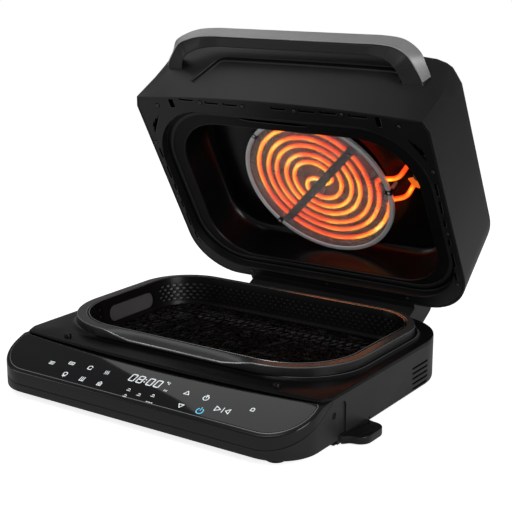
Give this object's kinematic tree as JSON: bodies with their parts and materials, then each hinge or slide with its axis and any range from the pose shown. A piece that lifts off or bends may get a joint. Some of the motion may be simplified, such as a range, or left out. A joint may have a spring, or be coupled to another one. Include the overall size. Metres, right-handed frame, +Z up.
{
  "type": "air fryer grill",
  "caption": "Table-top air fryer grill: shallow square base with a sloping touch panel, lift-out pot and basket, and a hinged lid that holds the heating coil and fan.",
  "frame": {"origin": "on the table plane under the centre of the bounding box of the part at rest, lid open", "axes": "+Z up, -Y towards the user at the control panel, +X to the right, where the probe drawer is"},
  "size_m": [0.459, 0.487, 0.4054],
  "materials": {
    "satin_black": "satin black moulded plastic",
    "gloss_black": "gloss black plastic",
    "panel_glass": "black printed glass",
    "dark_coat": "black non-stick coat on sheet metal",
    "pot_coat": "dark grey non-stick coat with a bright edge",
    "bright_steel": "brushed steel",
    "black_steel": "heat-blackened sheet steel",
    "hot_coil": "sheathed heating tube, glowing",
    "silicone": "grey silicone",
    "board_green": "green circuit board",
    "ceramic": "white ceramic",
    "rubber_black": "black rubber"
  },
  "bodies": {
    "base": {"deck_plate": "dark_coat", "locating_pin_left": "satin_black", "locating_pin_right": "satin_black", "base_housing": "satin_black", "panel_frame": "gloss_black", "control_glass": "panel_glass", "display_module": "gloss_black", "control_board": "board_green", "bottom_plate": "satin_black", "drawer_bay": "satin_black", "foot_front_left": "rubber_black", "foot_front_right": "rubber_black", "foot_rear_left": "rubber_black", "foot_rear_right": "rubber_black", "power_board": "board_green", "probe_socket": "bright_steel", "cord_gland": "rubber_black", "well_liner": "black_steel", "well_floor": "black_steel", "hinge_bracket_left": "satin_black", "hinge_bracket_right": "satin_black", "hinge_pin_left": "bright_steel", "hinge_pin_right": "bright_steel"},
    "lid": {"lid_rim_front": "satin_black", "lid_rim_rear": "satin_black", "lid_rim_left": "satin_black", "lid_rim_right": "satin_black", "lid_rim_front_left": "satin_black", "lid_rim_front_right": "satin_black", "lid_rim_rear_left": "satin_black", "lid_rim_rear_right": "satin_black", "lid_shell": "satin_black", "exhaust_cover": "satin_black", "lid_groove_roof": "satin_black", "lid_gasket": "silicone", "lid_liner": "dark_coat", "handle_body": "satin_black", "handle_trim": "bright_steel", "heating_coil": "hot_coil", "coil_terminal_front": "ceramic", "coil_terminal_rear": "ceramic", "coil_bracket": "black_steel", "element_guard": "black_steel", "guard_ring": "bright_steel", "fan_motor": "bright_steel", "heat_shield": "bright_steel", "temperature_sensor": "bright_steel", "thermal_cutout": "ceramic"},
    "fan": {"fan_impeller": "bright_steel", "cooling_fan": "black_steel"},
    "pot": {"cooking_pot": "pot_coat"},
    "basket": {"crisper_basket": "dark_coat", "basket_floor": "dark_coat", "basket_foot_front_left": "silicone", "basket_foot_front_right": "silicone", "basket_foot_rear_left": "silicone", "basket_foot_rear_right": "silicone"},
    "drawer": {"probe_drawer": "gloss_black"}
  },
  "joints": [
    {"name": "lid_hinge", "type": "hinge", "parent": "base", "child": "lid", "pos_m": [-0.0135, 0.13799, 0.0126], "axis": [-1, 0, 0], "range_deg": [-60.5, 0]},
    {"name": "fan_spin", "type": "hinge", "parent": "lid", "child": "fan", "pos_m": [-0.0135, 0.16738, 0.21938], "axis": [0, 0.8704, 0.4924], "continuous": true},
    {"name": "pot_lift", "type": "slide", "parent": "base", "child": "pot", "axis": [0, 0, 1], "range_m": [0, 0.055]},
    {"name": "basket_lift", "type": "slide", "parent": "pot", "child": "basket", "axis": [0, 0, 1], "range_m": [0, 0.04]},
    {"name": "drawer_slide", "type": "slide", "parent": "base", "child": "drawer", "axis": [1, 0, 0], "range_m": [0, 0.09]}
  ]
}
